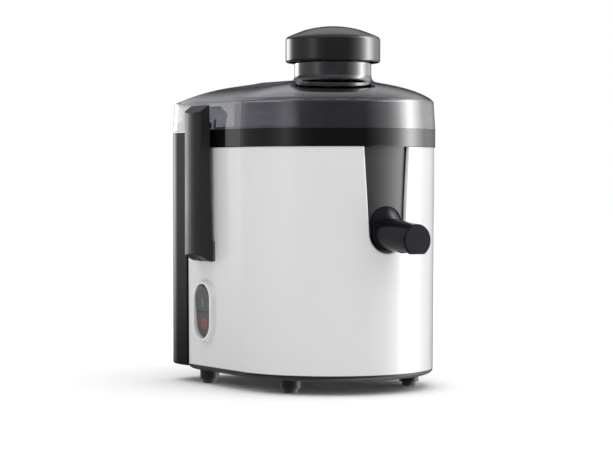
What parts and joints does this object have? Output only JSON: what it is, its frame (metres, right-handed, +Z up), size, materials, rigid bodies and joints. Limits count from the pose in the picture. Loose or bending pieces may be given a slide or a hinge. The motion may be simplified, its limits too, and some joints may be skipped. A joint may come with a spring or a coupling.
{
  "type": "centrifugal juicer",
  "caption": "Countertop centrifugal juicer: rounded white motor housing, dark juice bowl with tilting spout, smoke lid with feed chute and pusher, side clamps, rear pulp container.",
  "frame": {"origin": "centre of the overall box on the surface that the feet stand on", "axes": "+Z up, the spout points to -Y, the pulp container is at +Y, the switch is on the -X side"},
  "size_m": [0.2038, 0.2672, 0.3028],
  "materials": {
    "shell_white": "high-gloss white ABS",
    "base_dark": "fine satin dark grey",
    "foot_rubber": "dull soft rubber",
    "screw_steel": "zinc plated",
    "gland_rubber": "dull soft rubber",
    "rocker_grey": "satin mid grey",
    "switch_black": "satin black",
    "bowl_black": "gloss black",
    "spout_black": "gloss black",
    "lid_smoke": "smoke-tinted clear plastic, high gloss",
    "pusher_black": "gloss near-black",
    "cap_dark": "gloss dark grey",
    "can_dark": "satin dark grey",
    "clamp_dark": "satin dark grey",
    "pin_steel": "ground steel",
    "shaft_steel": "ground steel",
    "core_steel": "varnished laminations",
    "copper": "enamelled copper wire",
    "commutator_copper": "turned copper bars",
    "fan_plastic": "glass-filled nylon",
    "coupling_white": "acetal",
    "basket_plastic": "satin light grey",
    "sieve_steel": "etched stainless mesh",
    "grater_steel": "pressed stainless",
    "bracket_zinc": "die-cast",
    "damper_rubber": "dull soft rubber",
    "bearing_steel": "ground steel",
    "holder_brass": "bright brass",
    "carbon": "pressed carbon",
    "seal_rubber": "soft silicone",
    "capacitor_yellow": "moulded box",
    "interlock_black": "satin black"
  },
  "bodies": {
    "housing": {"body_shell": "shell_white", "base_plate": "base_dark", "rubber_feet": "foot_rubber", "base_screws": "screw_steel", "cord_gland": "gland_rubber", "switch_case": "switch_black", "juice_bowl": "bowl_black", "lid": "lid_smoke", "clamp_pins": "pin_steel", "stator_core": "core_steel", "field_coils": "copper", "upper_bracket": "bracket_zinc", "lower_bracket": "bracket_zinc", "through_bolts": "screw_steel", "mount_screws": "screw_steel", "bracket_screws": "screw_steel", "motor_dampers": "damper_rubber", "ball_bearings": "bearing_steel", "brush_holders": "holder_brass", "carbon_brushes": "carbon", "shaft_seal": "seal_rubber", "capacitor": "capacitor_yellow", "interlock_switches": "interlock_black"},
    "spinner": {"motor_shaft": "shaft_steel", "armature_core": "core_steel", "armature_winding": "copper", "commutator": "commutator_copper", "cooling_fan": "fan_plastic", "drive_coupling": "coupling_white", "basket_hub": "basket_plastic", "basket_frame": "basket_plastic", "sieve_mesh": "sieve_steel", "grater_disc": "grater_steel"},
    "pusher": {"pusher_tube": "pusher_black", "pusher_cap": "cap_dark"},
    "clamp_left": {"clamp_left": "clamp_dark"},
    "clamp_right": {"clamp_right": "clamp_dark"},
    "rocker": {"switch_rocker": "rocker_grey"},
    "spout": {"spout": "spout_black"},
    "pulp_container": {"pulp_container": "can_dark"}
  },
  "joints": [
    {"name": "spin", "type": "hinge", "parent": "housing", "child": "spinner", "pos_m": [0, -0.00478, 0.1], "axis": [0, 0, 1], "continuous": true},
    {"name": "pusher_slide", "type": "slide", "parent": "housing", "child": "pusher", "axis": [0, 0, 1], "range_m": [0, 0.09]},
    {"name": "clamp_left_swing", "type": "hinge", "parent": "housing", "child": "clamp_left", "pos_m": [-0.0936, 0.05492, 0.114], "axis": [0, -1, 0], "range_deg": [0, 75]},
    {"name": "clamp_right_swing", "type": "hinge", "parent": "housing", "child": "clamp_right", "pos_m": [0.0936, 0.05492, 0.114], "axis": [0, 1, 0], "range_deg": [0, 75]},
    {"name": "rocker_tilt", "type": "hinge", "parent": "housing", "child": "rocker", "pos_m": [-0.079, 0.05622, 0.063], "axis": [0, 1, 0], "range_deg": [0, 8]},
    {"name": "spout_tilt", "type": "hinge", "parent": "housing", "child": "spout", "pos_m": [0, -0.07678, 0.1383], "axis": [-1, 0, 0], "range_deg": [0, 25]},
    {"name": "pulp_container_slide", "type": "slide", "parent": "housing", "child": "pulp_container", "axis": [0, 1, 0], "range_m": [0, 0.05]}
  ]
}
